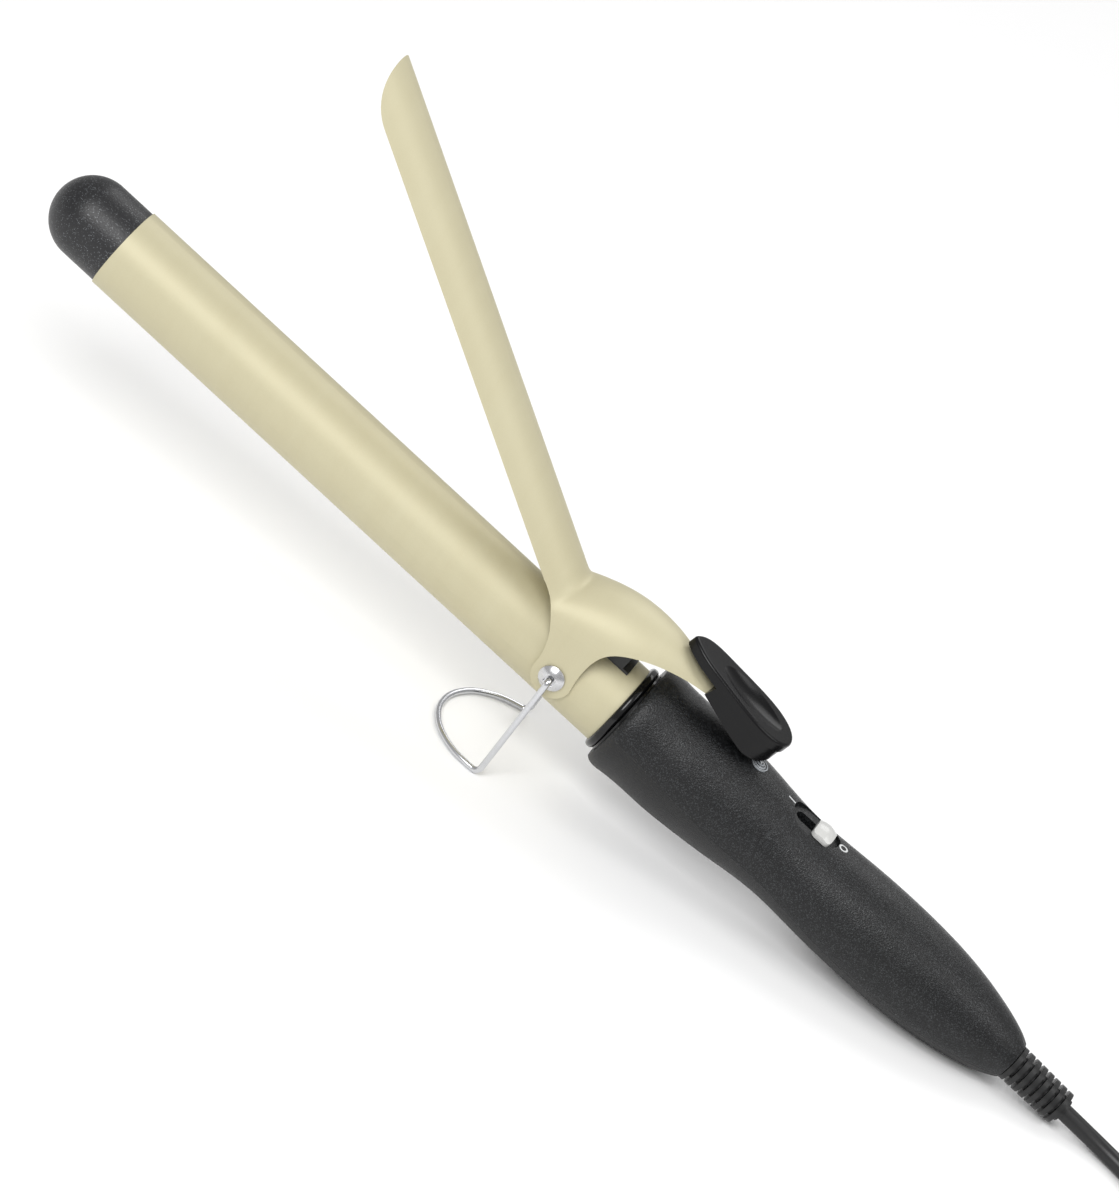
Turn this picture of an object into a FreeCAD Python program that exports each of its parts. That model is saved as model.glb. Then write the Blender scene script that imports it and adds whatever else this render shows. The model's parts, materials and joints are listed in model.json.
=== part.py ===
import FreeCAD, Part
import math
import os

V = FreeCAD.Vector
os.makedirs("parts", exist_ok=True)

# The iron is drawn in its own frame, in millimetres: the origin is the clip's pivot centre on the
# barrel's axis, +X runs back to the handle, +Z is the clip's side. place() then sets it on the table.

# Barrel and tip
barrel_r = 12.5
barrel_wall = 1.0
barrel_bore = barrel_r - barrel_wall
barrel_front = -164.0
barrel_back = 46.0
cap_r = 12.05
cap_straight = 11.2

# Clip, drawn open
clip_open = 31.1
clip_in = 12.75
clip_wall = 0.75
clip_out = clip_in + clip_wall
clip_tip = -171.5
clip_tip_round = 15.0
blade_edge = 6.75
blade_back = -27.0
ear_r = 6.2

# Handle
shell_wall = 2.2
handle_front = 22.0
handle_back = 163.0
# x, radius, height of the section's centre, and the side crease's angle
stations = [
    (22.0, 16.2, 0.1, 3.0), (23.4, 17.1, 0.1, 3.0), (28.0, 17.2, 0.2, 2.0), (42.0, 16.9, 0.3, -2.0),
    (53.0, 16.3, 0.45, -7.0), (63.0, 15.4, 0.6, -12.0), (72.0, 14.3, 0.7, -16.0), (81.0, 13.7, 0.8, -20.0),
    (92.0, 14.1, 0.85, -25.0), (106.0, 14.7, 0.95, -29.0), (120.0, 14.6, 1.1, -31.0), (132.0, 13.9, 1.2, -31.0),
    (142.0, 12.6, 1.25, -30.0), (151.0, 10.7, 1.3, -28.0), (158.0, 8.6, 1.4, -26.0), (163.0, 6.2, 1.5, -24.0),
]

# Stand wire
wire_r = 0.9
pivot_hole = 1.0
leg_top = 16.3
foot_half = 21.0
foot_x = 3.0
foot_drop = 33.6
foot_reach = 20.5

# Cord, and the way the iron lies: the barrel slopes up to the tip
cord_r = 2.5
relief_start = 163.0
relief_length = 20.0
relief_droop = 1.5
table_tilt = 9.46
pivot_x = 1.76
pivot_z = 34.55


def rod(start, direction, length, radius):
    return Part.makeCylinder(radius, length, V(*start), V(*direction))


def tube(start, direction, length, outer, inner):
    return rod(start, direction, length, outer).cut(rod(start, direction, length, inner))


def block(low, high):
    size = [b - a for a, b in zip(low, high)]
    return Part.makeBox(*size, V(*low))


def line(a, b):
    return Part.LineSegment(V(*a), V(*b)).toShape()


def arc(a, b, c):
    return Part.Arc(V(*a), V(*b), V(*c)).toShape()


def spline(points):
    curve = Part.BSplineCurve()
    curve.interpolate([V(*p) for p in points])
    return curve.toShape()


def side_slab(edges, half):
    """A closed outline in XZ, drawn at Y = -half, made as wide as twice half."""
    face = Part.Face(Part.Wire(edges))
    return face.extrude(V(0, 2 * half, 0))


def side_polygon(points, half):
    closed = list(points) + [points[0]]
    wire = Part.makePolygon([V(x, -half, z) for x, z in closed])
    return Part.Face(wire).extrude(V(0, 2 * half, 0))


def round_path(points, radii=None):
    """Straight runs joined by tangent arcs, and the arcs' radii."""
    pts = [V(*p) for p in points]
    edges = []
    found = []
    start = pts[0]
    for i in range(1, len(pts) - 1):
        into = pts[i] - pts[i - 1]
        out = pts[i + 1] - pts[i]
        half = into.getAngle(out) / 2
        cut = 0.45 * min(into.Length, out.Length)
        if radii:
            cut = radii[i - 1] * math.tan(half)
        found.append(cut / math.tan(half))
        into.normalize()
        out.normalize()
        a = pts[i] - into * cut
        b = pts[i] + out * cut
        inward = out - into
        inward.normalize()
        middle = pts[i] + inward * (found[-1] / math.cos(half) - found[-1])
        edges.append(Part.LineSegment(start, a).toShape())
        edges.append(Part.Arc(a, middle, b).toShape())
        start = b
    edges.append(Part.LineSegment(start, pts[-1]).toShape())
    return Part.Wire(edges), found


def wire_tube(points, radius, radii=None):
    path, found = round_path(points, radii)
    start = V(*points[0])
    profile = Part.Wire(Part.makeCircle(radius, start, V(*points[1]) - start))
    return path.makePipeShell([profile], True, False), path, found


def tilt_open(shape):
    """Swings a piece drawn on the closed clip to the open clip."""
    turned = shape.copy()
    turned.rotate(V(0, 0, 0), V(0, 1, 0), clip_open)
    return turned


def place(shape):
    placed = shape.copy()
    placed.rotate(V(0, 0, 0), V(0, 1, 0), table_tilt)
    placed.translate(V(pivot_x, 0, pivot_z))
    return placed


made = {}


def keep(name, *solids):
    """Sets a node's solids on the table and writes them."""
    put(name, *[place(s) for s in solids])


def put(name, *solids):
    parts = [p for s in solids for p in s.Solids]
    shape = parts[0] if len(parts) == 1 else Part.makeCompound(parts)
    shape.exportStep(f"parts/{name}.step")
    made[name] = shape


# The barrel, its tip and what heats them


def barrel_tube():
    body = tube((barrel_front, 0, 0), (1, 0, 0), barrel_back - barrel_front, barrel_r, barrel_bore)
    return body.cut(rod((0, -20, 0), (0, 1, 0), 40, 2.25))


def tip_cap():
    dome_at = barrel_front - cap_straight
    straight = rod((dome_at, 0, 0), (1, 0, 0), cap_straight, cap_r)
    dome = Part.makeSphere(cap_r, V(dome_at, 0, 0))
    dome = dome.common(block((dome_at - 20, -20, -20), (dome_at, 20, 20)))
    spigot = tube((barrel_front, 0, 0), (1, 0, 0), 9, barrel_bore - 0.1, 9.4)
    rib = block((barrel_front, -9.6, -0.8), (barrel_front + 7, 9.6, 0.8))
    return straight.fuse([dome, spigot, rib]).removeSplitter()


heater_back = -60.0
heater_length = 92.0


def heat_spreader(side):
    """Half a round bar with a flat for the heater and a channel along its back."""
    bar = rod((heater_back - heater_length, 0, 0), (1, 0, 0), heater_length, barrel_bore - 0.15)
    low = (heater_back - heater_length - 1, -15, 1.75)
    half = bar.common(block(low, (heater_back + 1, 15, 15)))
    channel = rod((heater_back - heater_length - 1, 0, 9.5), (1, 0, 0), heater_length + 2, 4.2)
    half = half.cut(channel)
    if side < 0:
        half = half.mirror(V(0, 0, 0), V(0, 0, 1))
    return half


def heater_element():
    return block((heater_back - heater_length + 4, -6, -1.25), (heater_back - 2, 6, 1.25))


def heater_film():
    outer = block((heater_back - heater_length + 2, -6.3, -1.6), (heater_back - 1, 6.3, 1.6))
    inner = block((heater_back - heater_length + 1, -6.1, -1.4), (heater_back, 6.1, 1.4))
    return outer.cut(inner)


def heater_leads():
    """Two leads from the heater: one to the board, one to the thermal fuse and on."""
    made_leads = []
    back = heater_back - 2
    for side, end in ((-1, 62), (1, 46.9)):
        points = [(back, 4 * side, 0), (-20, 4 * side, 0), (20, 5 * side, -2.4), (end, 6.4 * side, -3.4)]
        made_leads.append(wire_tube(points, 0.8)[0])
    return made_leads


def thermal_fuse():
    body = rod((48, 6.4, -3.4), (1, 0, 0), 10, 2.0)
    ends = rod((47, 6.4, -3.4), (1, 0, 0), 12, 0.6)
    return body.fuse(ends)


# The handle's two shells and what holds them


def section(x, radius, centre, crease, shrink=0.0):
    """Round above, with a flattened cheek under the side crease on each side."""
    r = radius - shrink
    low = -72.0
    middle = (crease + low) / 2
    cheek = 0.6 * r * (1 - math.cos(math.radians(crease - low) / 2))

    def at(degrees, inset=0.0):
        a = math.radians(degrees)
        return (x, (r - inset) * math.cos(a), centre + (r - inset) * math.sin(a))

    edges = [
        arc(at(crease), at(90), at(180 - crease)),
        arc(at(180 - crease), at(180 - middle, cheek), at(180 - low)),
        arc(at(180 - low), at(-90), at(low)),
        arc(at(low), at(middle, cheek), at(crease)),
    ]
    return Part.Wire(edges)


def handle_body(shrink=0.0):
    wires = []
    for i, (x, r, c, crease) in enumerate(stations):
        if i in (0, 1) and shrink:
            r = stations[2][1]
        wires.append(section(x, r, c, crease, shrink))
    return Part.makeLoft(wires, True, False)


def parting_solid():
    """All below the line where the two shells meet."""
    half = 30
    heights = [(10, 1.2), (40, -0.9), (75, -4.0), (112, -5.2), (145, -1.5), (170, 1.5)]
    seam = [(x, -half, z) for x, z in heights]
    edges = [
        spline(seam),
        line(seam[-1], (170, -half, -40)),
        line((170, -half, -40), (10, -half, -40)),
        line((10, -half, -40), seam[0]),
    ]
    return side_slab(edges, half)


# x, y and the depth of the head's seat below the axis
screw_spots = [(52.0, 0.0, 12.2), (97.0, 0.0, 10.4), (120.0, 0.0, 10.4)]
switch_x = 80.0
lamp_x = 57.2
slider_x = 83.0


def handle_hollow():
    shell = handle_body()
    cavity = handle_body(shell_wall)
    cavity = cavity.common(block((24.4, -30, -30), (160.6, 30, 30)))
    hollow = shell.cut(cavity)
    for x in (27.0, 41.0):
        rib = rod((x, 0, 0), (1, 0, 0), 1.8, 15.6).cut(rod((x, 0, 0), (1, 0, 0), 1.8, 14.5))
        hollow = hollow.fuse(rib.common(shell))
    hollow = hollow.cut(rod((20, 0, 0), (1, 0, 0), 6, 13.5))
    hollow = hollow.cut(rod((24.4, 0, 0), (1, 0, 0), 22, 14.5))
    hollow = hollow.cut(rod((158, 0, 1.5), (1, 0, 0), 8, 4.75))
    return hollow, shell


def switch_window(length, width, low, high):
    """An upright slot with round ends, long in X."""
    half = length / 2 - width / 2
    body = block((switch_x - half, -width / 2, low), (switch_x + half, width / 2, high))
    ends = [rod((switch_x + s * half, 0, low), (0, 0, 1), high - low, width / 2) for s in (-1, 1)]
    return body.fuse(ends).removeSplitter()


def handle_shells():
    hollow, shell = handle_hollow()
    below = parting_solid()
    upper = hollow.cut(below)
    lower = hollow.common(below)
    for x, y, seat in screw_spots:
        post = rod((x, y, -14), (0, 0, 1), 28, 3.0).common(shell)
        upper = upper.fuse(post.cut(below))
        lower = lower.fuse(post.common(below))
        upper = upper.cut(rod((x, y, -20), (0, 0, 1), 28, 1.25))
        lower = lower.cut(rod((x, y, -20), (0, 0, 1), 30, 1.6))
        lower = lower.cut(rod((x, y, -30), (0, 0, 1), 30 - seat, 2.9))
    # the switch's dished recess, its slot, and the lamp's hole
    dish = switch_window(16.4, 10.8, 13.2, 18)
    floor = switch_window(18.4, 12.8, 10.4, 13.2).common(shell)
    upper = upper.fuse(floor).cut(dish)
    upper = upper.cut(switch_window(12.4, 4.2, 8, 16))
    upper = upper.cut(rod((lamp_x, 0, 8), (0, 0, 1), 12, 2.3))
    upper = upper.cut(rod((lamp_x, 0, 16.0), (0, 0, 1), 4, 2.85))
    return biggest(upper), biggest(lower)


def biggest(shape):
    return max(shape.Solids, key=lambda s: s.Volume)


def handle_screws():
    screws = []
    for x, y, depth in screw_spots:
        seat = -depth
        head = rod((x, y, seat - 2.0), (0, 0, 1), 2.0, 2.7)
        slot = block((x - 1.6, y - 0.3, seat - 2.1), (x + 1.6, y + 0.3, seat - 1.2))
        cross = block((x - 0.3, y - 1.6, seat - 2.1), (x + 0.3, y + 1.6, seat - 1.2))
        shank = rod((x, y, seat), (0, 0, 1), 14, 1.2)
        screws.append(head.fuse(shank).cut(slot).cut(cross))
    return screws


def collar_ring():
    bead = tube((18.7, 0, 0), (1, 0, 0), 2.6, 14.0, 12.55)
    outer = [e for e in bead.Edges if abs(e.BoundBox.YLength - 28.0) < 0.01]
    bead = bead.makeFillet(1.15, outer)
    neck = tube((21.3, 0, 0), (1, 0, 0), 3.4, 13.35, 12.55)
    return bead.fuse(neck).removeSplitter()


def barrel_bush():
    body = tube((25.0, 0, 0), (1, 0, 0), 20.0, 14.4, 12.55)
    for side in (-1, 1):
        body = body.cut(block((30, -2, 10 * side - 6), (39, 2, 10 * side + 6)))
    return body


# The switch, the lamp and the board


def switch_slider():
    """A glossy thumb button on a stem, at the back end of its slot."""
    button = block((slider_x - 3, -4.0, 13.3), (slider_x + 3, 4.0, 17))
    button = button.makeFillet(1.5, [e for e in button.Edges if e.BoundBox.ZLength > 3])
    button = button.common(Part.makeSphere(6.5, V(slider_x, 0, 9.8)))
    stem = block((slider_x - 1.3, -1.0, 7.9), (slider_x + 1.2, 1.0, 13.4))
    return button.fuse(stem).removeSplitter()


def switch_body():
    case = block((72, -4.5, 2.7), (90, 4.5, 8.9))
    track = block((75.4, -2.0, 5.0), (86.6, 2.0, 9.2))
    tabs = [block((x, -3.4, -0.6), (x + 1.2, -2.6, 2.7)) for x in (74, 80.4, 86.8)]
    return case.cut(track).fuse(tabs)


def circuit_board():
    board = block((55.2, -8.5, 1.0), (112, 8.5, 2.6))
    board = board.cut(rod((97, 0, -5), (0, 0, 1), 12, 3.3))
    for x in (74, 80.4, 86.8):
        board = board.cut(block((x - 0.2, -3.7, 0), (x + 1.4, -2.3, 4)))
    for side in (-1, 1):
        board = board.cut(rod((lamp_x + 1.3 * side, 0, 0), (0, 0, 1), 4, 0.5))
    return board


def dropper_resistors():
    parts = []
    for y in (-5.5, 5.5):
        body = rod((62.5, y, 4.4), (1, 0, 0), 6.4, 1.4)
        leads = rod((61, y, 4.4), (1, 0, 0), 9.4, 0.3)
        parts.append(body.fuse(leads))
    return parts


def indicator_lamp():
    bulb = rod((lamp_x, 0, 9.0), (0, 0, 1), 3.6, 1.5).fuse(Part.makeSphere(1.5, V(lamp_x, 0, 12.6)))
    foot = rod((lamp_x, 0, 8.2), (0, 0, 1), 0.8, 1.9)
    legs = [rod((lamp_x + 1.3 * s, 0, -0.4), (0, 0, 1), 8.8, 0.25) for s in (-1, 1)]
    return bulb.fuse([foot] + legs).removeSplitter()


def indicator_lens():
    """A clear domed window with a collar that stands on the handle's top."""
    stem = tube((lamp_x, 0, 13.0), (0, 0, 1), 3.2, 2.2, 1.7)
    top = rod((lamp_x, 0, 15.6), (0, 0, 1), 0.9, 2.2)
    dome = Part.makeSphere(3.6, V(lamp_x, 0, 13.6)).common(rod((lamp_x, 0, 16.3), (0, 0, 1), 3, 2.2))
    rim = tube((lamp_x, 0, 16.15), (0, 0, 1), 0.5, 2.75, 2.2)
    return stem.fuse([top, dome, rim]).removeSplitter()


# The clip, its lever and its pivots


def blade():
    """The long spoon, drawn closed on the barrel."""
    length = blade_back - clip_tip
    shell = tube((clip_tip, 0, 0), (1, 0, 0), length, clip_out, clip_in)
    top = clip_out + 2
    start = (clip_tip, -20, clip_out)
    edge = (clip_tip + clip_tip_round, -20, blade_edge)
    # the end's arc meets the straight edge level
    chord = math.hypot(clip_tip_round, clip_out - blade_edge)
    half = math.atan2(clip_out - blade_edge, clip_tip_round)
    radius = chord / 2 / math.sin(half)
    middle = (edge[0] - radius * math.sin(half), -20, blade_edge + radius * (1 - math.cos(half)))
    edges = [
        arc(start, middle, edge),
        line(edge, (blade_back, -20, blade_edge)),
        line((blade_back, -20, blade_edge), (blade_back, -20, top)),
        line((blade_back, -20, top), (clip_tip, -20, top)),
        line((clip_tip, -20, top), start),
    ]
    return tilt_open(shell.common(side_slab(edges, 20)))


# ridge points of the arched tail on the open clip: x, z, the section's lean and its half width
arches = [
    (-9.3, 23.3, 23.0, 13.5), (-4.2, 25.9, 12.0, 13.5), (4.0, 28.4, 2.0, 13.5), (12.0, 29.1, -4.0, 12.5),
    (20.5, 28.4, -9.0, 9.6), (29.0, 26.7, -13.0, 6.8), (38.5, 24.2, -16.0, 4.6),
]


def arch_wire(origin, lean, half, shrink):
    """An upside-down U: a half circle on straight walls, filled, in a leaning plane."""
    r = half - shrink
    walls = 34.0
    a = math.radians(lean)

    def at(y, up):
        return (origin[0] + up * math.sin(a), y, origin[1] + up * math.cos(a))

    edges = [
        arc(at(-r, 0), at(0, r), at(r, 0)),
        line(at(r, 0), at(r, -walls)),
        line(at(r, -walls), at(-r, -walls)),
        line(at(-r, -walls), at(-r, 0)),
    ]
    return Part.Wire(edges)


def saddle_solid(shrink):
    lean = math.radians(clip_open)
    wires = []
    for x in (blade_back, blade_back + 2.5, blade_back + 4.5):
        wires.append(arch_wire((x * math.cos(lean), -x * math.sin(lean)), clip_open, clip_out, shrink))
    for x, z, tilt, half in arches:
        a = math.radians(tilt)
        centre = (x - half * math.sin(a), z - half * math.cos(a))
        wires.append(arch_wire(centre, tilt, half, shrink))
    return Part.makeLoft(wires, True, False)


def saddle_outline():
    """The open clip's lower edge from the blade round the ear to the tail."""
    a = math.radians(clip_open)
    start = (
        blade_back * math.cos(a) + blade_edge * math.sin(a),
        -20,
        -blade_back * math.sin(a) + blade_edge * math.cos(a),
    )
    front = (-ear_r, -20, 0)
    low = (0, -20, -ear_r)
    rear = (ear_r, -20, 0)
    edges = [
        spline([start, (-15.4, -20, 17.1), (-9.9, -20, 11.4), (-6.9, -20, 5.0), front]),
        arc(front, (-ear_r * 0.7071, -20, -ear_r * 0.7071), low),
        arc(low, (ear_r * 0.7071, -20, -ear_r * 0.7071), rear),
        spline([rear, (5.0, -20, 8.6), (7.0, -20, 16.6), (12.0, -20, 20.4), (20.0, -20, 22.9), (38.0, -20, 24.1)]),
        line((38.0, -20, 24.1), (38.0, -20, 45)),
        line((38.0, -20, 45), (start[0], -20, 45)),
        line((start[0], -20, 45), start),
    ]
    return side_slab(edges, 20)


def tongue_plan():
    """Rounds the tail's end in plan."""
    keep_all = block((-60, -30, -40), (32.5, 30, 80))
    nose = rod((32.5, 0, -10), (0, 0, 1), 60, 5.4)
    return keep_all.fuse(nose)


def clip():
    saddle = saddle_solid(0).cut(saddle_solid(clip_wall)).common(saddle_outline())
    saddle = saddle.common(tongue_plan())
    whole = blade().fuse(saddle)
    whole = whole.cut(rod((0, -20, 0), (0, 1, 0), 40, 2.35))
    whole = whole.cut(rod((lever_screw_x, 0, 15), (0, 0, 1), 20, 1.3))
    return biggest(whole.removeSplitter())


lever_x = 40.4
lever_z = 30.4
lever_lean = 7.4
lever_screw_x = 29.0


def lever_outline(inset):
    """The lever's drop shape seen from above, on its own axes."""
    half = [(-19.6, 0), (-17.0, 3.4), (-7.0, 6.2), (4.5, 7.5), (13.5, 6.8), (18.0, 3.9), (19.3, 0)]
    points = []
    for x, y in half + [(x, -y) for x, y in half[-2:0:-1]]:
        size = math.hypot(x, y)
        points.append(V(x - inset * x / size, y - inset * y / size, 0))
    curve = Part.BSplineCurve()
    curve.interpolate(points, PeriodicFlag=True)
    return Part.Wire(curve.toShape())


def thumb_lever():
    plate = Part.Face(lever_outline(0)).extrude(V(0, 0, -3.2))
    plate = plate.makeFillet(0.9, [e for e in plate.Edges if e.BoundBox.ZMin > -0.01])
    deep = Part.Face(lever_outline(0.5)).extrude(V(0, 0, -14))
    side = [(-5.5, -1.5), (-6.5, -7.4), (12.0, -9.9), (16.4, -9.4), (18.9, -7.8), (22, -1.5)]
    body = deep.common(side_polygon(side, 20))
    core = Part.Face(lever_outline(2.1)).extrude(V(0, 0, -16))
    core_side = [(-3.4, -3.4), (-3.9, -16), (17.0, -16), (17.4, -3.4)]
    body = body.cut(core.common(side_polygon(core_side, 20)))
    lever = plate.fuse(body)
    dish = Part.makeSphere(10, V(0, 0, 0))
    grow = FreeCAD.Matrix()
    grow.scale(1.42, 0.62, 0.42)
    dish = dish.transformGeometry(grow)
    dish.translate(V(3.2, 0, 2.5))
    lever = lever.cut(dish)
    lever.rotate(V(0, 0, 0), V(0, 1, 0), lever_lean)
    lever.translate(V(lever_x, 0, lever_z))
    under = saddle_solid(0).common(saddle_outline()).common(tongue_plan())
    lever = lever.cut(under)
    stop = block((48.0, -1.0, 17.3), (50.0, 1.0, 26.5))
    lever = lever.fuse(stop)
    lever = lever.cut(rod((lever_screw_x, 0, 15), (0, 0, 1), 13.8, 1.0))
    return biggest(lever)


def lever_screw():
    head = rod((lever_screw_x, 0, 23.4), (0, 0, 1), 1.6, 2.2)
    shank = rod((lever_screw_x, 0, 24.9), (0, 0, 1), 3.6, 0.95)
    return head.fuse(shank)


def pivot_stud(side):
    """A hollow rivet through the barrel's wall with a domed head outside the clip's ear."""
    shank = rod((0, 10.2, 0), (0, 1, 0), 3.6, 2.2)
    tail = rod((0, 10.0, 0), (0, 1, 0), 0.8, 3.0)
    dome = Part.makeSphere(5.4, V(0, 10.35, 0)).common(rod((0, 13.65, 0), (0, 1, 0), 4, 3.8))
    seat = rod((0, 13.65, 0), (0, 1, 0), 0.4, 3.8)
    well = block((-1.5, 14.5, -1.5), (1.5, 18, 1.5))
    stud = shank.fuse([tail, dome, seat]).cut(well).cut(rod((0, 8, 0), (0, 1, 0), 10, pivot_hole))
    if side < 0:
        stud = stud.mirror(V(0, 0, 0), V(0, 1, 0))
    return stud


spring_x = 9.0
spring_z = 16.2


def spring_bracket():
    base = tube((4.0, 0, 0), (1, 0, 0), 10.5, 13.3, barrel_r + 0.05)
    base = base.common(block((4, -5.2, 8), (14.5, 5.2, 20)))
    cheeks = [block((5.6, y, 11.4), (12.4, y + 1.1, 17.9)) for y in (-5.2, 4.1)]
    body = base.fuse([c.cut(rod((0, 0, 0), (1, 0, 0), 30, 13.0)) for c in cheeks])
    pin = rod((spring_x, -5.6, spring_z), (0, 1, 0), 11.2, 1.1)
    return body.fuse(pin).removeSplitter()


def clip_spring():
    """A coil on the bracket's pin, with a leg up to the tail and a leg down to the barrel."""
    turns = 5
    pitch = 1.15
    helix = Part.makeHelix(pitch, pitch * turns, 1.9)
    helix.rotate(V(0, 0, 0), V(1, 0, 0), -90)
    helix.translate(V(spring_x, -pitch * turns / 2, spring_z))
    begin = helix.Vertexes[0].Point
    profile = Part.Wire(Part.makeCircle(0.45, begin, V(0, 0, -1)))
    coil = Part.Wire(helix.Edges).makePipeShell([profile], True, True)
    upper = rod((begin.x, begin.y, begin.z), (0.45, 0, 0.89), 11.4, 0.45)
    end = helix.Vertexes[-1].Point
    lower = rod((end.x, end.y, end.z), (0.35, 0, -0.62), 2.9, 0.45)
    return coil.fuse([upper, lower])


def stand_wire():
    """The legs stand in the hollow pivots and join in a round foot that lies flat on the table."""
    up = math.radians(table_tilt)
    near, far = [
        [(0, side * 12.0, 0), (0, side * leg_top, 0), (foot_x, side * foot_half, -foot_drop)]
        for side in (-1, 1)
    ]
    loop = []
    steps = 7
    for i in range(1, steps):
        a = math.pi * i / steps
        reach = foot_reach * math.sin(a)
        x = foot_x - reach * math.cos(up)
        z = -foot_drop - reach * math.sin(up)
        loop.append((x, -foot_half * math.cos(a), z))
    points = near + loop + far[::-1]
    radii = [1.6, 2.2] + [round_radius(points, i) for i in range(3, 3 + len(loop))] + [2.2, 1.6]
    return wire_tube(points, wire_r, radii)[0]


def round_radius(points, i):
    a, b, c = (V(*points[k]) for k in (i - 1, i, i + 1))
    into = b - a
    out = c - b
    return 0.45 * min(into.Length, out.Length) / math.tan(into.getAngle(out) / 2)


# The cord inside the handle


def relief_line(along):
    """A point on the strain relief's axis."""
    a = math.radians(relief_droop)
    return (relief_start + along * math.cos(a), 0, 1.5 - along * math.sin(a))


def strain_relief():
    ring_count = 8
    pitch = 2.45
    core = rod((0, 0, 0), (1, 0, 0), relief_length, 3.5)
    for i in range(ring_count):
        radius = 5.5 - 0.045 * i
        ring = rod((0.35 + pitch * i, 0, 0), (1, 0, 0), 1.45, radius)
        core = core.fuse(ring)
    neck = rod((-4.5, 0, 0), (1, 0, 0), 4.9, 4.4)
    flange = rod((-6.2, 0, 0), (1, 0, 0), 1.9, 5.2)
    body = core.fuse([neck, flange]).cut(rod((-8, 0, 0), (1, 0, 0), 40, cord_r + 0.05))
    body.rotate(V(0, 0, 0), V(0, 1, 0), relief_droop)
    body.translate(V(relief_start, 0, 1.5))
    return body.removeSplitter()


def cord_inner_end():
    a = math.radians(relief_droop)
    direction = (math.cos(a), 0, -math.sin(a))
    return rod(relief_line(-28.0), direction, 28.0 + relief_length, cord_r)


clamp_spots = (-5.6, 5.6)


def cord_clamp():
    bar = block((140.5, -7.4, 4.75), (144.5, 7.4, 6.6))
    bar = bar.cut(rod((138, 0, 2.1), (1, 0, 0), 10, cord_r + 0.05))
    for y in clamp_spots:
        bar = bar.cut(rod((142.5, y, 0), (0, 0, 1), 10, 1.1))
    return bar


def clamp_screws():
    screws = []
    for y in clamp_spots:
        head = rod((142.5, y, 6.6), (0, 0, 1), 1.2, 1.9)
        shank = rod((142.5, y, 2.8), (0, 0, 1), 3.9, 1.0)
        screws.append(head.fuse(shank))
    return screws


def supply_wires():
    """The cord's two cores, from the end of its jacket to the board."""
    wires = []
    for side in (-1, 1):
        points = [
            (134.9, 1.1 * side, 2.2), (128.0, 1.4 * side, 2.4),
            (119.0, 5.5 * side, 4.2), (109.5, 6.4 * side, 4.6),
        ]
        wires.append(wire_tube(points, 0.85)[0])
    return wires


# The cord on the table, in the placed frame

coil_centre = (258.0, 0.0)
coil_outer = 36.1
coil_inner = 18.6
coil_low = 0.35
coil_height = 20.2
plug_up = 27.2
plug_side = -20.0

cord_route = [
    (182.55, 0.0, 5.38), (196.4, 0.0, 2.72), (209.2, -4.4, 2.5), (221.0, -13.0, 2.5),
    (232.6, -23.2, 2.5), (245.0, -31.2, 2.5), (258.5, -33.6, 2.5),
]
plug_route = [
    (225.0, 13.5, 18.0), (224.4, -0.2, 20.8), (231.6, -12.8, 25.0), (244.2, plug_side, 26.8),
    (258.0, plug_side, plug_up),
]


def cord_tube(route):
    solid, path, radii = wire_tube(route, cord_r)
    expected = math.pi * cord_r**2 * path.Length
    print("cord tube: radii", [round(r, 1) for r in radii], "length", round(path.Length, 1))
    print("volume", round(solid.Volume, 1), "section x length", round(expected, 1))
    return solid


def cord_coil():
    """The outer shape of the put-away turns, which lie in four layers."""
    ring = tube((*coil_centre, coil_low), (0, 0, 1), coil_height, coil_outer, coil_inner)
    return ring.makeFillet(2.2, [e for e in ring.Edges if e.Curve.TypeId == "Part::GeomCircle"])


def cord_tie():
    """A soft strap round the ring of turns."""
    high = coil_low + coil_height + 0.1
    outer = block((coil_inner - 1.8, -4, 0.0), (coil_outer + 1.1, 4, high + 0.9))
    inner = block((coil_inner - 0.9, -5, 0.3), (coil_outer + 0.2, 5, high))
    strap = outer.cut(inner)
    strap.rotate(V(0, 0, 0), V(0, 0, 1), 60)
    strap.translate(V(*coil_centre, 0))
    return strap


plug_length = 36.0
pin_spread = 9.5


def plug_ring(along, half_width, half_height, corner):
    w, h, c = half_width, half_height, corner
    corners = [
        (-w, -h + c), (-w, h - c), (-w + c, h), (w - c, h),
        (w, h - c), (w, -h + c), (w - c, -h), (-w + c, -h),
    ]
    closed = corners + [corners[0]]
    tail = plug_route[-1]
    return Part.makePolygon([V(tail[0] + along, tail[1] + a, tail[2] + b) for a, b in closed])


def plug_body():
    """The plug lies on the turns with its pins away from the handle."""
    rings = [
        plug_ring(0, 3.4, 3.4, 1.4), plug_ring(9, 4.6, 4.4, 1.6), plug_ring(17, 10.6, 6.2, 3.4),
        plug_ring(plug_length, 12.6, 6.6, 4.2),
    ]
    body = Part.makeLoft(rings, True, True)
    for side in (-1, 1):
        body = body.cut(plug_pin(side))
    return body


def plug_pin(side):
    tail = plug_route[-1]
    face = (tail[0] + plug_length, tail[1] + pin_spread * side, tail[2])
    pin = rod(face, (1, 0, 0), 19, 2.0)
    pin = pin.makeFillet(0.8, [e for e in pin.Edges if e.BoundBox.XMin > face[0] + 18.9])
    return pin.fuse(rod(face, (-1, 0, 0), 8, 1.6))


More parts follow.
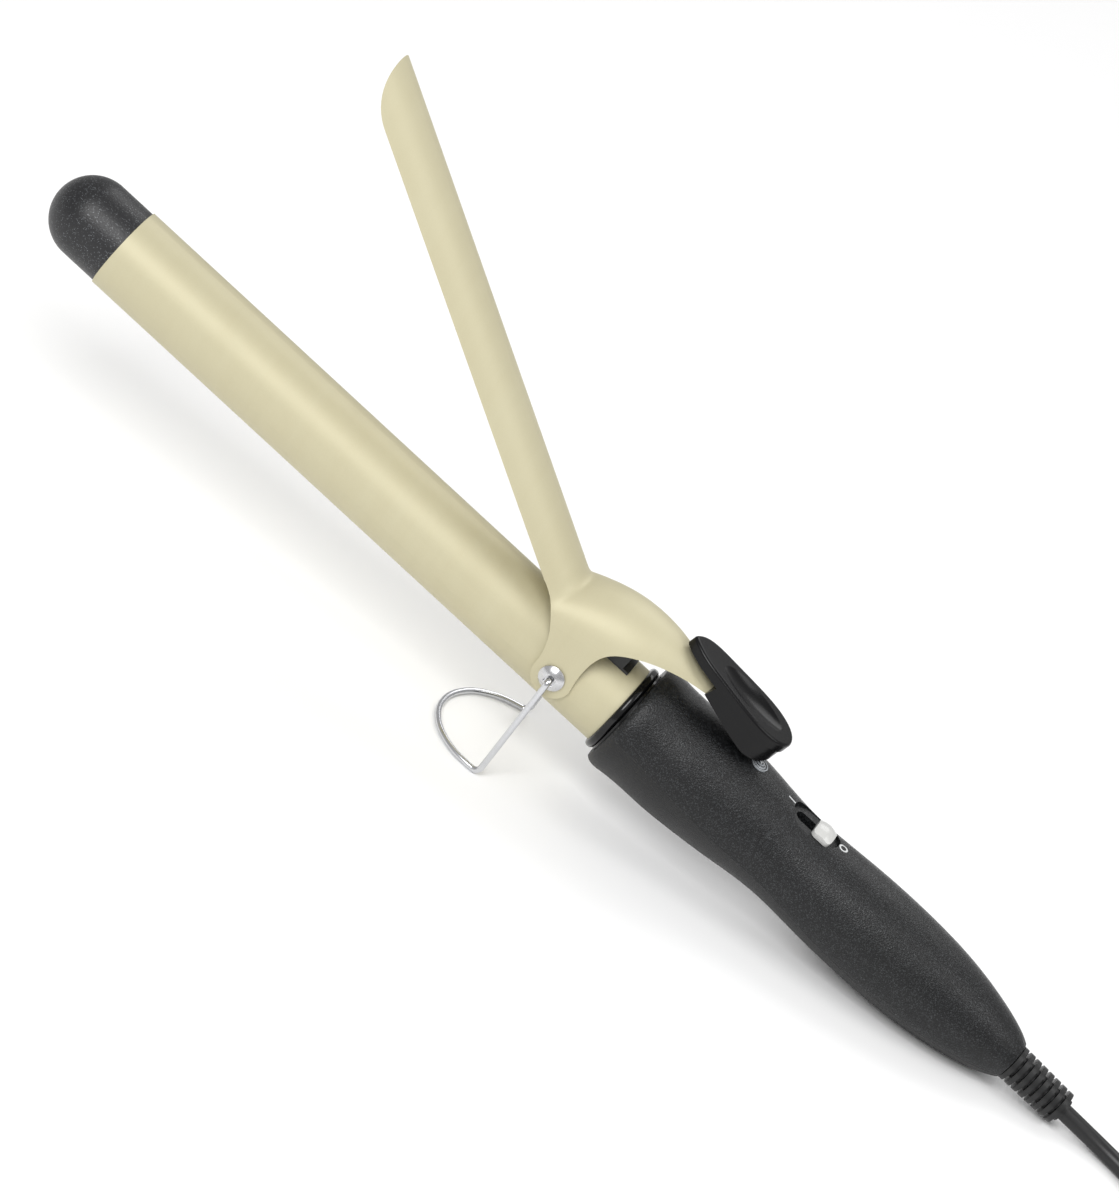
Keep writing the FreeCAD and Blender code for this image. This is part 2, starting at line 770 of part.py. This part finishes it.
def main():
    keep("barrel_tube", barrel_tube())
    keep("tip_cap", tip_cap())
    keep("upper_heat_spreader", heat_spreader(1))
    keep("lower_heat_spreader", heat_spreader(-1))
    keep("heater_element", heater_element())
    keep("heater_film", heater_film())
    keep("heater_leads", *heater_leads())
    keep("thermal_fuse", thermal_fuse())
    upper, lower = handle_shells()
    keep("upper_handle_shell", upper)
    keep("lower_handle_shell", lower)
    keep("handle_screws", *handle_screws())
    keep("collar_ring", collar_ring())
    keep("barrel_bush", barrel_bush())
    keep("switch_slider", switch_slider())
    keep("switch_body", switch_body())
    keep("circuit_board", circuit_board())
    keep("dropper_resistors", *dropper_resistors())
    keep("indicator_lamp", indicator_lamp())
    keep("indicator_lens", indicator_lens())
    keep("clip", clip())
    keep("thumb_lever", thumb_lever())
    keep("lever_screw", lever_screw())
    keep("pivot_studs", pivot_stud(-1), pivot_stud(1))
    keep("spring_bracket", spring_bracket())
    keep("clip_spring", clip_spring())
    keep("stand_wire", stand_wire())
    keep("strain_relief", strain_relief())
    keep("cord_inner_end", cord_inner_end())
    keep("cord_clamp", cord_clamp())
    keep("clamp_screws", *clamp_screws())
    keep("supply_wires", *supply_wires())
    put("power_cord", cord_tube(cord_route), cord_tube(plug_route))
    put("cord_coil", cord_coil())
    put("cord_tie", cord_tie())
    put("plug_body", plug_body())
    put("plug_pins", plug_pin(-1), plug_pin(1))
    for name, shape in made.items():
        b = shape.BoundBox
        flag = "" if shape.isValid() else "INVALID"
        print(f"{name:22s} {len(shape.Solids)} {shape.Volume:9.1f} x {b.XMin:.1f}..{b.XMax:.1f} "
              f"y {b.YMin:.1f}..{b.YMax:.1f} z {b.ZMin:.2f}..{b.ZMax:.2f} {flag}")


main()
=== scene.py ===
import bpy
import bmesh
import json
import math
from mathutils import Matrix, Vector

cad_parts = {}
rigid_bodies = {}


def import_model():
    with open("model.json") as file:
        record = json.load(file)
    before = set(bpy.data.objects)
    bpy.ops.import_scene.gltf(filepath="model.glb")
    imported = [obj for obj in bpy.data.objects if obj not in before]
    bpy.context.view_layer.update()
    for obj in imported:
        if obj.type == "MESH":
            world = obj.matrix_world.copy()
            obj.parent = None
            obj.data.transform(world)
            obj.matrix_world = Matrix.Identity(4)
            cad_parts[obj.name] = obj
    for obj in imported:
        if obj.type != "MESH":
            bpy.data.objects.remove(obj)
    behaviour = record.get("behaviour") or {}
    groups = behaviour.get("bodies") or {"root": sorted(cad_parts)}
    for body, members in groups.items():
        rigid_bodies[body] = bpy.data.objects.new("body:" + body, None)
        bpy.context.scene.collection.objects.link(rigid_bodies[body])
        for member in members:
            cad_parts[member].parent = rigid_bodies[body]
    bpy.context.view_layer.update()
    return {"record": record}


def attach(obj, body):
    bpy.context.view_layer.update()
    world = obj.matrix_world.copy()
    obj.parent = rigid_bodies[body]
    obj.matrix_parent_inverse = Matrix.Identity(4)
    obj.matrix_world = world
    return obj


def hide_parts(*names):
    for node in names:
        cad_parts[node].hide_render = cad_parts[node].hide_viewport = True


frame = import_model()

mm = 0.001
joints = {j["name"]: j for j in frame["record"]["behaviour"]["joints"]}
pivot = Vector(joints["clip_hinge"]["pos_m"])
barrelAxis = Vector(joints["switch_slide"]["axis"]).normalized()
sideAxis = Vector((0, 1, 0))
upAxis = barrelAxis.cross(sideAxis).normalized()


# the camera looks across the iron from its left, a little above

# millimetres and degrees; turn is the way the barrel runs in the picture, aside and above place
# the middle of the picture from the clip's pivot
camera = {
    "distance": 1400, "elevation": 30.0, "yaw": 1.5, "turn": -42.7185,
    "lens": 154.689, "film": 36, "aside": 2.3098, "above": 15.8967,
}


def placeCamera():
    e = math.radians(camera["elevation"])
    yaw = math.radians(camera["yaw"])
    across = upAxis * math.sin(e) - sideAxis * math.cos(e)
    toEye = across * math.cos(yaw) - barrelAxis * math.sin(yaw)
    # the barrel's picture runs down to the right; turn the camera about its view until it does
    level = (barrelAxis - toEye * barrelAxis.dot(toEye)).normalized()
    rise = toEye.cross(level)
    turn = math.radians(camera["turn"])
    right = level * math.cos(turn) - rise * math.sin(turn)
    up = level * math.sin(turn) + rise * math.cos(turn)
    offset = up * camera["above"] - right * camera["aside"]
    eye = pivot + (toEye * camera["distance"] + offset) * mm
    data = bpy.data.cameras.new("viewCamera")
    data.lens = camera["lens"]
    data.sensor_width = camera["film"]
    data.clip_start, data.clip_end = 0.05, 20
    view = bpy.data.objects.new("viewCamera", data)
    bpy.context.scene.collection.objects.link(view)
    turned = Matrix((right, up, toEye)).transposed().to_4x4()
    view.matrix_world = Matrix.Translation(eye) @ turned
    bpy.context.scene.camera = view


placeCamera()
print("camera placed")


# small wrappers that keep the shader node networks short

class Wire:
    # wraps a socket, so that shader maths reads as sums
    def __init__(self, shader, socket):
        self.shader, self.socket = shader, socket

    def maths(self, operation, *others):
        values = {i: v for i, v in enumerate((self,) + others)}
        return self.shader.add("ShaderNodeMath", {"operation": operation}, values)

    def __add__(self, other):
        return self.maths("ADD", other)

    def __sub__(self, other):
        return self.maths("SUBTRACT", other)

    def __rsub__(self, other):
        return (self * -1) + other

    def __mul__(self, other):
        return self.maths("MULTIPLY", other)

    def __truediv__(self, other):
        return self.maths("DIVIDE", other)

    def __pow__(self, other):
        return self.maths("POWER", other)

    def __lt__(self, other):
        return self.maths("LESS_THAN", other)

    def __gt__(self, other):
        return self.maths("GREATER_THAN", other)

    def __abs__(self):
        return self.maths("ABSOLUTE")

    __radd__ = __add__
    __rmul__ = __mul__


class Shader:
    def __init__(self, name):
        self.material = bpy.data.materials.new(name)
        self.material.use_nodes = True
        self.tree = self.material.node_tree
        self.tree.nodes.clear()

    def add(self, kind, settings=None, sockets=None, out=0):
        node = self.tree.nodes.new(kind)
        for key, value in (settings or {}).items():
            if key == "stops":
                self.setStops(node, value)
            else:
                setattr(node, key, value)
        for key, value in (sockets or {}).items():
            if isinstance(value, Wire):
                self.tree.links.new(value.socket, node.inputs[key])
            else:
                node.inputs[key].default_value = value
        return Wire(self, node.outputs[out]) if node.outputs else node

    def setStops(self, node, stops):
        elements = node.color_ramp.elements
        while len(elements) < len(stops):
            elements.new(0.5)
        for element, (place, level) in zip(elements, stops):
            element.position = place
            element.color = (level, level, level, 1)

    def place(self, turn=0.0, scale=(1, 1, 1)):
        # the piece's own coordinates in the row frame, turned about Y so that X runs along the iron
        coords = self.add("ShaderNodeTexCoord", out="Object")
        return self.add(
            "ShaderNodeMapping", {"vector_type": "POINT"},
            {"Vector": coords, "Rotation": (0, turn, 0), "Scale": scale},
        )

    def noise(self, vector, scale, detail=2.0, roughness=0.5, out="Fac"):
        return self.add(
            "ShaderNodeTexNoise", None,
            {"Vector": vector, "Scale": scale, "Detail": detail, "Roughness": roughness}, out,
        )

    def cells(self, vector, scale, feature="F1", out="Distance"):
        sockets = {"Vector": vector, "Scale": scale}
        return self.add("ShaderNodeTexVoronoi", {"feature": feature}, sockets, out)

    def iron(self):
        # x, y and z in the iron's own millimetres
        coords = self.add("ShaderNodeTexCoord", out="Object")
        axes = []
        for axis in (barrelAxis, sideAxis, upAxis):
            shifted = self.add(
                "ShaderNodeVectorMath", {"operation": "SUBTRACT"}, {0: coords, 1: tuple(pivot)},
            )
            axes.append(self.add(
                "ShaderNodeVectorMath", {"operation": "DOT_PRODUCT"}, {0: shifted, 1: tuple(axis)}, 1,
            ) * 1000)
        return axes

    def step(self, value, low, high):
        settings = {"interpolation_type": "SMOOTHSTEP"}
        return self.add("ShaderNodeMapRange", settings, {"Value": value, "From Min": low, "From Max": high})

    def ramp(self, value, *stops):
        return self.add("ShaderNodeValToRGB", {"stops": stops}, {"Fac": value})

    def mix(self, factor, a, b):
        return self.add(
            "ShaderNodeMix", {"data_type": "RGBA"}, {0: factor, 6: a, 7: b}, 2,
        )

    def bump(self, height, strength, distance, normal=None):
        sockets = {"Height": height, "Strength": strength, "Distance": distance}
        if normal is not None:
            sockets["Normal"] = normal
        return self.add("ShaderNodeBump", None, sockets)

    def finish(self, **sockets):
        named = {k.replace("_", " "): v for k, v in sockets.items()}
        surface = self.add("ShaderNodeBsdfPrincipled", None, named)
        self.add("ShaderNodeOutputMaterial", None, {"Surface": surface})
        return self.material


def colour(red, green, blue):
    # a colour as seen on a screen, 0 to 255, to linear light
    def linear(c):
        c = c / 255
        return c / 12.92 if c < 0.04045 else ((c + 0.055) / 1.055) ** 2.4
    return (linear(red), linear(green), linear(blue), 1)


alongIron = math.asin(-barrelAxis.z)


# one maker for each kind of surface, then a finish for every slot

champagne = {
    "light": colour(201, 196, 168), "deep": colour(184, 175, 141),
    "roughness": 0.56, "metallic": 0.22, "flake": 7000, "wipe": 260,
}


def champagneCoat(name):
    s = Shader(name)
    p = s.place(alongIron)
    flakes = s.cells(p, champagne["flake"], out="Color")
    tone = s.noise(flakes, 3.0, 0.0)
    cloud = s.noise(p, 22.0, 3.0)
    streaks = s.noise(s.place(alongIron, (champagne["wipe"], 14, 14)), 1.0, 4.0, 0.6)
    rub = s.ramp(s.noise(p, 60.0, 5.0, 0.65), (0.56, 0.0), (0.74, 1.0))
    shade = tone * 0.35 + cloud * 0.35 + streaks * 0.3
    base = s.mix(shade, champagne["deep"], champagne["light"])
    rough = champagne["roughness"] + (tone - 0.5) * 0.12 + (streaks - 0.5) * 0.08 + rub * 0.05
    height = tone * 0.6 + streaks * 0.4
    return s.finish(
        Base_Color=base, Metallic=champagne["metallic"], Roughness=rough,
        Normal=s.bump(height, 0.06, 0.0002), Coat_Weight=0.1, Coat_Roughness=0.3,
    )


def mouldedBlack(name, dark, light, roughness, grain, strength, sparkle=0.0, specular=0.5):
    # grained black plastic; sparkle is the share of bright specks in it
    s = Shader(name)
    p = s.place(alongIron)
    pits = s.cells(p, grain, "SMOOTH_F1")
    fine = s.noise(p, grain * 1.7, 2.0)
    haze = s.noise(p, 38.0, 4.0, 0.6)
    tone = s.mix(haze * 0.6 + fine * 0.4, dark, light)
    rough = roughness + (haze - 0.5) * 0.14 + (fine - 0.5) * 0.1
    if sparkle:
        specks = s.cells(p, 4600.0, out="Color")
        chance = s.add("ShaderNodeSeparateColor", None, {"Color": specks})
        glint = s.step(chance, 1 - sparkle, 1.0) * s.ramp(haze, (0.3, 0.4), (0.65, 1.0))
        tone = s.mix(glint * 0.5, tone, colour(150, 154, 158))
        rough = rough - glint * 0.15
    return s.finish(
        Base_Color=tone, Roughness=rough, Specular_IOR_Level=specular,
        Normal=s.bump(pits * 0.6 + fine * 0.4, strength, 0.0002),
    )


handlePaint = {
    # the side crease's height by distance along the iron, both as shares of the ranges below
    "creaseFrom": 22.0, "creaseTo": 163.0, "lowest": -10.0, "highest": 2.0,
    "crease": [
        (0.0, 0.92), (0.14, 0.81), (0.22, 0.71), (0.36, 0.57),
        (0.5, 0.41), (0.7, 0.3), (0.85, 0.42), (1.0, 0.75),
    ],
    "bar": 70.4, "ring": 89.6, "ink": colour(206, 208, 208), "mouldLine": 72.0,
}


def handleBlack(name, dark, light):
    # grained above the side crease; below it smoother, with painted shade darkening the lower facet; a bar
    # and a ring by the switch
    s = Shader(name)
    p = s.place(alongIron)
    x, y, z = s.iron()
    fine = s.noise(p, 3600.0, 2.0)
    pits = s.cells(p, 2600.0, "SMOOTH_F1")
    haze = s.noise(p, 34.0, 4.0, 0.6)
    span = handlePaint["creaseTo"] - handlePaint["creaseFrom"]
    rise = handlePaint["highest"] - handlePaint["lowest"]
    share = s.ramp((x - handlePaint["creaseFrom"]) / span, *handlePaint["crease"])
    crease = share * rise + handlePaint["lowest"]
    # mask of the lower facet under the crease: smoother there, and given painted shade
    shadedLowerFacet = s.step(crease - z, -0.3, 0.5)
    specks = s.add("ShaderNodeSeparateColor", None, {"Color": s.cells(p, 4400.0, out="Color")})
    glint = s.step(specks, 0.72, 1.0) * (1 - shadedLowerFacet * 0.8)
    tone = s.mix(haze * 0.5 + fine * 0.5, dark, light)
    tone = s.mix(glint * 0.14, tone, colour(138, 143, 146))
    # painted shade: the lower facet is mixed towards near-black
    tone = s.mix(shadedLowerFacet * 0.55, tone, colour(5, 5, 6))
    line = (1 - s.step(abs(x - handlePaint["mouldLine"] + haze * 1.2), 0.1, 0.5)) * (z > -4.0)
    worn = s.step(s.noise(p, 240.0, 3.0), 0.42, 0.62)
    tone = s.mix(line * worn * 0.16, tone, colour(96, 100, 102))
    across = y * y
    reach = (x - handlePaint["ring"]) * (x - handlePaint["ring"]) + across
    ring = (abs(reach ** 0.5 - 1.15) < 0.27) * (z > 5.0)
    bar = (abs(x - handlePaint["bar"]) < 1.3) * (abs(y) < 0.28) * (z > 5.0)
    tone = s.mix(ring + bar, tone, handlePaint["ink"])
    rough = 0.37 + (haze - 0.5) * 0.16 - glint * 0.12 + shadedLowerFacet * 0.1
    height = pits * 0.5 + fine * 0.5 - line * worn * 0.2
    return s.finish(
        Base_Color=tone, Roughness=rough, Specular_IOR_Level=0.36,
        Normal=s.bump(height, 0.9, 0.0002),
    )


def polishedMetal(name, tint, roughness, grain=900.0, streak=(30, 900, 900)):
    s = Shader(name)
    fine = s.noise(s.place(alongIron, streak), 1.0, 3.0, 0.6)
    dull = s.noise(s.place(), grain, 3.0, 0.6)
    tone = s.mix(dull * 0.5 + fine * 0.2, tint, tuple(0.8 * c for c in tint[:3]) + (1,))
    return s.finish(
        Base_Color=tone, Metallic=1.0, Roughness=roughness + dull * 0.1 + fine * 0.06,
        Normal=s.bump(fine, 0.05, 0.0001),
    )


def softMoulding(name, tint, worn, roughness, grain=2200.0, strength=0.2, metallic=0.0):
    s = Shader(name)
    p = s.place()
    fine = s.noise(p, grain, 3.0, 0.6)
    cloud = s.noise(p, 70.0, 4.0, 0.6)
    tone = s.mix(cloud * 0.7 + fine * 0.3, tint, worn)
    return s.finish(
        Base_Color=tone, Roughness=roughness + (cloud - 0.5) * 0.15, Metallic=metallic,
        Normal=s.bump(fine, strength, 0.0001),
    )


# the rings' radii and widths about x, and dark, the painted shade colour the rings are given
lens = {"x": 57.2, "dark": colour(28, 28, 30), "rings": ((2.25, 0.16), (1.5, 0.13), (0.7, 0.13))}


def clearDome(name):
    # clear plastic moulded with rings; painted shade makes the rings dark, standing for the lamp's dark
    # well seen through them
    s = Shader(name)
    p = s.place()
    x, y, z = s.iron()
    frost = s.noise(p, 900.0, 2.0)
    reach = ((x - lens["x"]) * (x - lens["x"]) + y * y) ** 0.5
    paintedRingShade = sum((abs(reach - radius) < width) for radius, width in lens["rings"])
    clear = s.mix(frost, colour(196, 200, 204), colour(168, 174, 180))
    return s.finish(
        # painted shade on the rings, for the dark lamp well seen through the dome
        Base_Color=s.mix(paintedRingShade, clear, lens["dark"]), Roughness=0.08 + frost * 0.08,
        IOR=1.45, Alpha=0.62 + frost * 0.1, Coat_Weight=1.0, Coat_Roughness=0.04,
    )


finishes = {
    "champagne_barrel": champagneCoat("champagneBarrel"),
    "champagne_clip": champagneCoat("champagneClip"),
    "tip_black": mouldedBlack(
        "tipBlack", colour(14, 14, 16), colour(30, 30, 33), 0.44, 2200.0, 0.4, 0.12,
    ),
    "handle_black": handleBlack("handleBlack", colour(9, 9, 10), colour(20, 21, 22)),
    "lever_black": mouldedBlack(
        "leverBlack", colour(8, 8, 9), colour(17, 17, 18), 0.24, 2400.0, 0.08, specular=0.24,
    ),
    "collar_black": mouldedBlack(
        "collarBlack", colour(7, 7, 8), colour(13, 13, 14), 0.18, 2600.0, 0.04, specular=0.4,
    ),
    "relief_rubber": softMoulding("reliefRubber", colour(9, 9, 9), colour(20, 20, 21), 0.36),
    "cord_jacket": softMoulding("cordJacket", colour(10, 10, 11), colour(20, 20, 21), 0.4, 1600.0, 0.15),
    "plug_black": mouldedBlack("plugBlack", colour(12, 12, 13), colour(24, 24, 25), 0.46, 2400.0, 0.25),
    "pin_nickel": polishedMetal("pinNickel", colour(212, 208, 198), 0.2),
    "tie_black": softMoulding("tieBlack", colour(16, 16, 17), colour(34, 34, 36), 0.75, 3200.0, 0.5),
    "stand_chrome": polishedMetal("standChrome", colour(214, 215, 218), 0.14),
    "pivot_chrome": polishedMetal("pivotChrome", colour(216, 216, 218), 0.18),
    "zinc_screw": polishedMetal("zincScrew", colour(178, 178, 174), 0.32),
    "spring_steel": polishedMetal("springSteel", colour(168, 168, 170), 0.28),
    "bracket_black": softMoulding("bracketBlack", colour(20, 20, 21), colour(40, 40, 41), 0.45),
    "slider_white": softMoulding(
        "sliderWhite", colour(206, 206, 204), colour(190, 190, 187), 0.18, 1500.0, 0.05,
    ),
    "switch_grey": softMoulding("switchGrey", colour(48, 48, 50), colour(70, 70, 72), 0.5),
    "board_green": softMoulding("boardGreen", colour(24, 92, 52), colour(36, 112, 64), 0.35),
    "resistor_beige": softMoulding("resistorBeige", colour(206, 178, 132), colour(186, 156, 110), 0.35),
    "lamp_red": softMoulding("lampRed", colour(180, 24, 20), colour(206, 44, 36), 0.2, 1500.0, 0.03),
    "lens_clear": clearDome("lensClear"),
    "spreader_aluminium": polishedMetal("spreaderAluminium", colour(196, 197, 199), 0.42),
    "heater_ceramic": softMoulding("heaterCeramic", colour(228, 224, 214), colour(206, 200, 190), 0.6),
    "amber_film": softMoulding("amberFilm", colour(206, 136, 42), colour(186, 112, 28), 0.25),
    "glass_fibre_sleeve": softMoulding(
        "glassFibreSleeve", colour(226, 224, 214), colour(196, 192, 180), 0.8,
    ),
    "fuse_metal": polishedMetal("fuseMetal", colour(204, 204, 200), 0.3),
    "bush_resin": softMoulding("bushResin", colour(84, 58, 38), colour(104, 74, 48), 0.5),
    "clamp_grey": softMoulding("clampGrey", colour(46, 46, 48), colour(64, 64, 66), 0.5),
    "wire_insulation": softMoulding("wireInsulation", colour(110, 60, 34), colour(132, 76, 46), 0.4),
}
for part in frame["record"]["subparts"]:
    cadObject = bpy.data.objects[part["node"]]
    cadObject.data.materials.clear()
    cadObject.data.materials.append(finishes[part["material_slot"]])
print("materials made")


# the mains cord leaves the handle, winds up in layers and ends at the plug

cord = {
    "radius": 2.5, "length": 1.8, "turns": 9.75, "layers": 4, "perTurn": 14, "entry": -90,
    "centre": (258.0, 0.0), "outer": 33.6, "inner": 21.2, "low": 2.85, "layerStep": 5.05,
    "run": [
        (182.55, 0.0, 5.38), (196.4, 0.0, 2.72), (209.2, -4.4, 2.5), (221.0, -13.0, 2.5),
        (232.6, -23.2, 2.5), (245.0, -31.2, 2.5),
    ],
    "toPlug": [
        (224.4, -0.2, 20.8), (231.6, -12.8, 25.0), (244.2, -20.0, 26.8),
        (258.0, -20.0, 27.2), (262.0, -20.0, 27.2),
    ],
}


def coilPoints():
    # the turns lie in layers, which wind in and out by turns
    points = []
    perLayer = cord["turns"] / cord["layers"]
    for i in range(int(cord["turns"] * cord["perTurn"])):
        turn = i / cord["perTurn"]
        layer = min(int(turn / perLayer), cord["layers"] - 1)
        share = turn / perLayer - layer
        inward = share if layer % 2 == 0 else 1 - share
        radius = cord["outer"] + (cord["inner"] - cord["outer"]) * inward
        climb = max(0, 1 - (1 - share) * perLayer * 5) if layer < cord["layers"] - 1 else 0
        angle = math.radians(cord["entry"]) + turn * 2 * math.pi
        points.append((
            cord["centre"][0] + radius * math.cos(angle),
            cord["centre"][1] + radius * math.sin(angle),
            cord["low"] + cord["layerStep"] * (layer + climb),
        ))
    return points


def makeCord():
    curve = bpy.data.curves.new("mainsCord", "CURVE")
    curve.dimensions = "3D"
    curve.bevel_depth = cord["radius"] * mm
    curve.bevel_resolution = 5
    curve.resolution_u = 6
    curve.use_fill_caps = True
    points = cord["run"] + coilPoints() + cord["toPlug"]
    line = curve.splines.new("NURBS")
    line.points.add(len(points) - 1)
    for point, (x, y, z) in zip(line.points, points):
        point.co = (x * mm, y * mm, z * mm, 1)
    line.order_u = 3
    line.use_endpoint_u = True
    piece = bpy.data.objects.new("mainsCord", curve)
    bpy.context.scene.collection.objects.link(piece)
    curve.materials.append(finishes["cord_jacket"])
    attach(piece, "iron")
    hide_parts("power_cord", "cord_coil")


# the plug and the strap round the turns

plug = {
    "tail": (258.0, -20.0, 27.2),
    # along from the tail, half width, half height, squareness
    "rings": [
        (0.0, 3.0, 3.0, 2.0), (0.5, 3.35, 3.35, 2.0), (2.2, 3.4, 3.4, 2.0), (2.5, 3.0, 3.0, 2.0),
        (3.5, 3.0, 3.0, 2.0), (3.8, 3.6, 3.6, 2.0), (5.4, 3.7, 3.7, 2.0), (5.7, 3.2, 3.2, 2.0),
        (6.7, 3.3, 3.3, 2.0), (7.0, 4.0, 3.9, 2.1), (9.0, 4.5, 4.3, 2.2), (12.0, 6.8, 5.1, 2.6),
        (15.0, 9.4, 5.8, 3.0), (18.0, 10.9, 6.2, 3.3), (22.0, 11.6, 6.3, 3.6), (27.0, 12.0, 6.4, 3.8),
        (32.0, 12.35, 6.5, 4.0), (35.0, 12.5, 6.55, 4.0), (35.8, 12.3, 6.35, 4.0), (36.0, 11.9, 5.95, 4.0),
    ],
    "around": 64, "grips": (20.5, 23.0, 25.5, 28.0), "gripDepth": 0.45,
}
tie = {
    "angle": 60.0, "inner": 17.7, "outer": 36.9, "top": 21.4,
    "width": 7.6, "thick": 0.8, "squareness": 7, "steps": 72,
}


def meshPiece(name, verts, faces, slotName, body="iron", smooth=True):
    mesh = bpy.data.meshes.new(name)
    mesh.from_pydata([tuple(v) for v in verts], [], faces)
    tool = bmesh.new()
    tool.from_mesh(mesh)
    bmesh.ops.recalc_face_normals(tool, faces=tool.faces)
    for face in tool.faces:
        face.smooth = smooth
    tool.to_mesh(mesh)
    tool.free()
    piece = bpy.data.objects.new(name, mesh)
    bpy.context.scene.collection.objects.link(piece)
    mesh.materials.append(finishes[slotName])
    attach(piece, body)
    return piece


def loft(rings, closed=False):
    # skins rings of equal length, and caps the two ends
    verts = [v for ring in rings for v in ring]
    n = len(rings[0])
    faces = []
    for i in range(len(rings) - (0 if closed else 1)):
        a, b = i * n, (i + 1) % len(rings) * n
        faces += [(a + k, a + (k + 1) % n, b + (k + 1) % n, b + k) for k in range(n)]
    if not closed:
        faces.append(tuple(range(n))[::-1])
        faces.append(tuple(range(len(verts) - n, len(verts))))
    return verts, faces


def superRound(angle, halfWidth, halfHeight, power):
    c, s = math.cos(angle), math.sin(angle)
    return (
        halfWidth * math.copysign(abs(c) ** (2 / power), c),
        halfHeight * math.copysign(abs(s) ** (2 / power), s),
    )


def makePlug():
    x0, y0, z0 = plug["tail"]
    rings = []
    stations = list(plug["rings"])
    for middle in plug["grips"]:
        for offset, depth in ((-0.7, 0), (-0.35, 1), (0.35, 1), (0.7, 0)):
            stations.append((middle + offset, None, None, depth))
    stations.sort(key=lambda r: r[0])
    known = plug["rings"]
    for along, w, h, power in stations:
        sink = 0
        if w is None:
            sink = power * plug["gripDepth"]
            low = max(r for r in known if r[0] <= along)
            high = min(r for r in known if r[0] > along)
            t = (along - low[0]) / (high[0] - low[0])
            w, h, power = (a + (b - a) * t for a, b in zip(low[1:], high[1:]))
        ring = []
        for k in range(plug["around"]):
            angle = 2 * math.pi * k / plug["around"]
            a, b = superRound(angle, w, h - sink * abs(math.sin(angle)), power)
            ring.append(Vector((x0 + along, y0 + a, z0 + b)) * mm)
        rings.append(ring)
    verts, faces = loft(rings)
    piece = meshPiece("plugShell", verts, faces, "plug_black")
    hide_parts("plug_body")
    return piece


def makeTie():
    # a flat strap: a rounded loop across the turns
    halfWide = (tie["outer"] - tie["inner"]) / 2
    middle = (tie["outer"] + tie["inner"]) / 2
    halfHigh = tie["top"] / 2
    rings = []
    turn = math.radians(tie["angle"])
    away = Vector((math.cos(turn), math.sin(turn), 0))
    across = Vector((-away.y, away.x, 0))
    centre = Vector((*cord["centre"], 0)) + away * middle + Vector((0, 0, halfHigh))
    for k in range(tie["steps"]):
        angle = 2 * math.pi * k / tie["steps"]
        ring = []
        for depth, width in ((0, -1), (0, 1), (1, 1), (1, -1)):
            sink = depth * tie["thick"]
            a, b = superRound(angle, halfWide - sink, halfHigh - sink, tie["squareness"])
            ring.append((centre + away * a + Vector((0, 0, b)) + across * width * tie["width"] / 2) * mm)
        rings.append(ring)
    verts, faces = loft(rings, closed=True)
    piece = meshPiece("tieStrap", verts, faces, "tie_black", smooth=False)
    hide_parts("cord_tie")
    return piece


plugShell = makePlug()
tieStrap = makeTie()
makeCord()
print("cord laid")


# a plain pale floor under soft light

studio = {
    "floorHalf": 6.0, "floor": colour(250, 250, 250), "world": colour(252, 252, 252), "worldStrength": 0.5,
    # name, place, size and power
    "lights": [
        ("keyBox", (-0.25, -0.95, 1.0), 0.7, 12), ("fillBox", (0.9, -0.2, 1.0), 0.7, 4.5),
        ("backBox", (0.1, 0.9, 1.1), 0.8, 5),
    ],
}


def makeStudio():
    mesh = bpy.data.meshes.new("studioFloor")
    half = studio["floorHalf"]
    corners = [(-half, -half, 0), (half, -half, 0), (half, half, 0), (-half, half, 0)]
    mesh.from_pydata(corners, [], [(0, 1, 2, 3)])
    floor = bpy.data.objects.new("studioFloor", mesh)
    bpy.context.scene.collection.objects.link(floor)
    s = Shader("studioFloor")
    mesh.materials.append(s.finish(Base_Color=studio["floor"], Roughness=0.7, Specular_IOR_Level=0.2))
    world = bpy.data.worlds.new("studioWorld")
    world.use_nodes = True
    background = world.node_tree.nodes["Background"]
    background.inputs["Color"].default_value = studio["world"]
    background.inputs["Strength"].default_value = studio["worldStrength"]
    bpy.context.scene.world = world
    for name, place, size, power in studio["lights"]:
        addLight(name, place, size, power)
    bpy.context.scene.view_settings.view_transform = "Standard"


def addLight(name, place, size, power):
    data = bpy.data.lights.new(name, "AREA")
    data.size = size
    data.energy = power
    light = bpy.data.objects.new(name, data)
    bpy.context.scene.collection.objects.link(light)
    light.location = place
    light.rotation_mode = "QUATERNION"
    light.rotation_quaternion = (pivot - Vector(place)).to_track_quat("-Z", "Y")


makeStudio()
print("studio lit")
